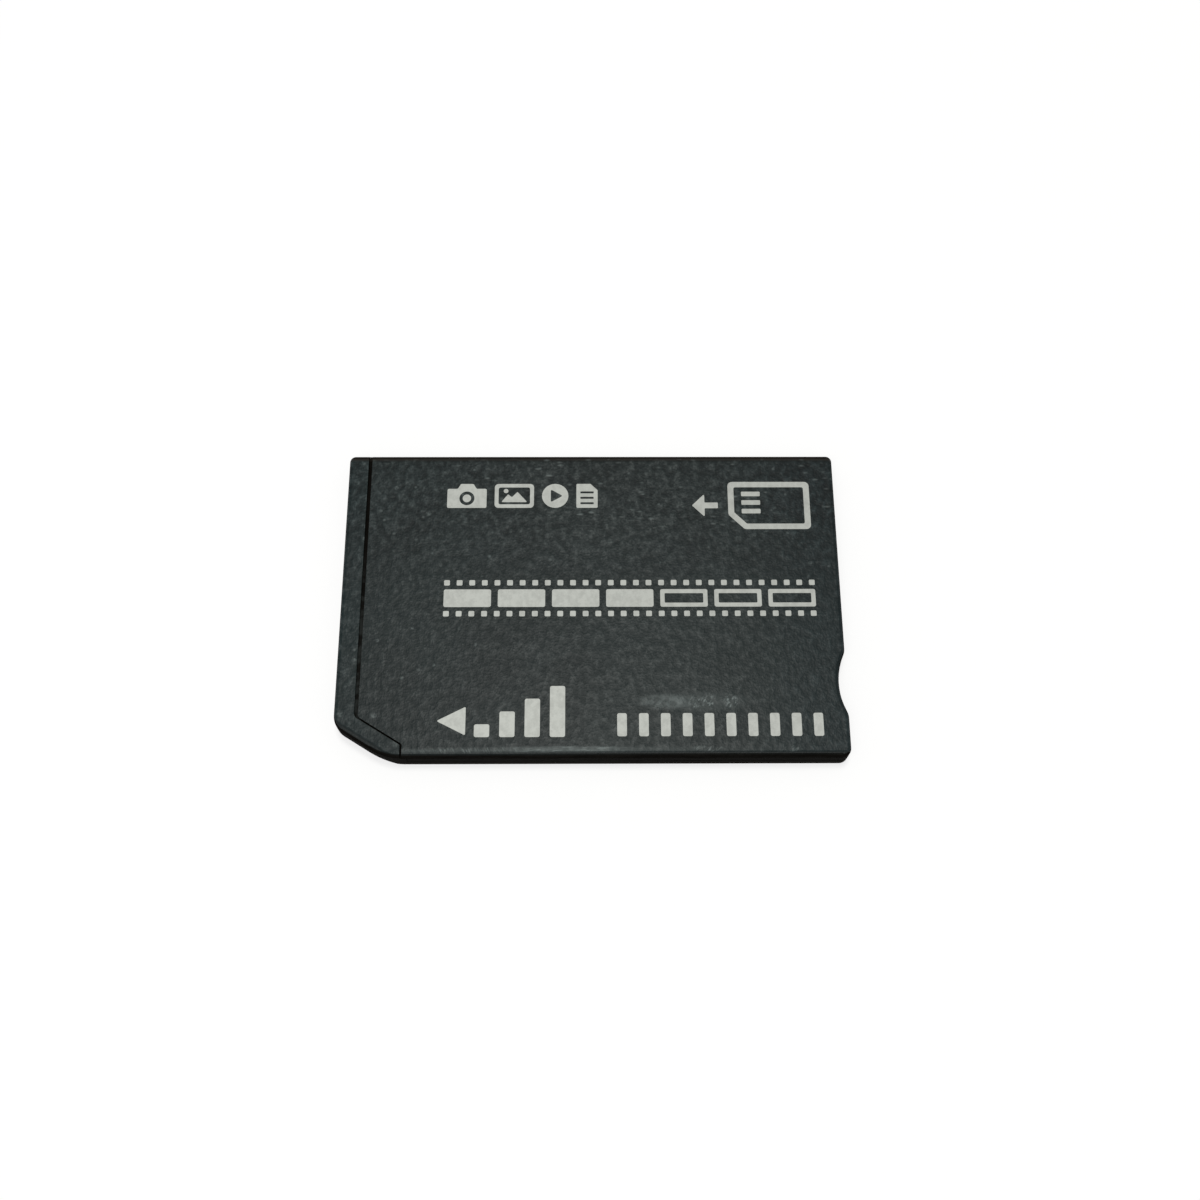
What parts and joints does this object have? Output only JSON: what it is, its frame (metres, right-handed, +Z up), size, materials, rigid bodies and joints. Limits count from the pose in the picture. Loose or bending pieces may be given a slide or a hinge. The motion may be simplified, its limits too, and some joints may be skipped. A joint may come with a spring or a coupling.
{
  "type": "flash memory card",
  "caption": "Thin rectangular flash memory card with a cut front corner, a seamed front bar, a shallow rear notch and recessed gold contacts, slid into a camera's card slot.",
  "frame": {"origin": "middle of the underside, where the card lies on a surface", "axes": "+X along the card from the contact end that goes in first to the rear edge, +Y across it away from the cut corner, +Z up through the label face"},
  "size_m": [0.031, 0.02, 0.0016],
  "materials": {
    "case": "fine satin moulding",
    "cover": "fine spark-eroded grain",
    "board": "solder mask",
    "chip": "moulded epoxy",
    "contact": "gold plate",
    "capacitor": "fired ceramic",
    "resistor": "fired ceramic"
  },
  "bodies": {
    "root": {"lower_case": "case", "upper_cover": "cover", "circuit_board": "board", "flash_memory_chip": "chip", "controller_chip": "chip", "contact_pad_1": "contact", "contact_pad_2": "contact", "contact_pad_3": "contact", "contact_pad_4": "contact", "contact_pad_5": "contact", "contact_pad_6": "contact", "contact_pad_7": "contact", "contact_pad_8": "contact", "contact_pad_9": "contact", "contact_pad_10": "contact", "capacitor_1": "capacitor", "capacitor_2": "capacitor", "capacitor_3": "capacitor", "capacitor_4": "capacitor", "capacitor_5": "capacitor", "capacitor_6": "capacitor", "resistor_1": "resistor", "resistor_2": "resistor", "resistor_3": "resistor", "resistor_4": "resistor"}
  },
  "joints": []
}
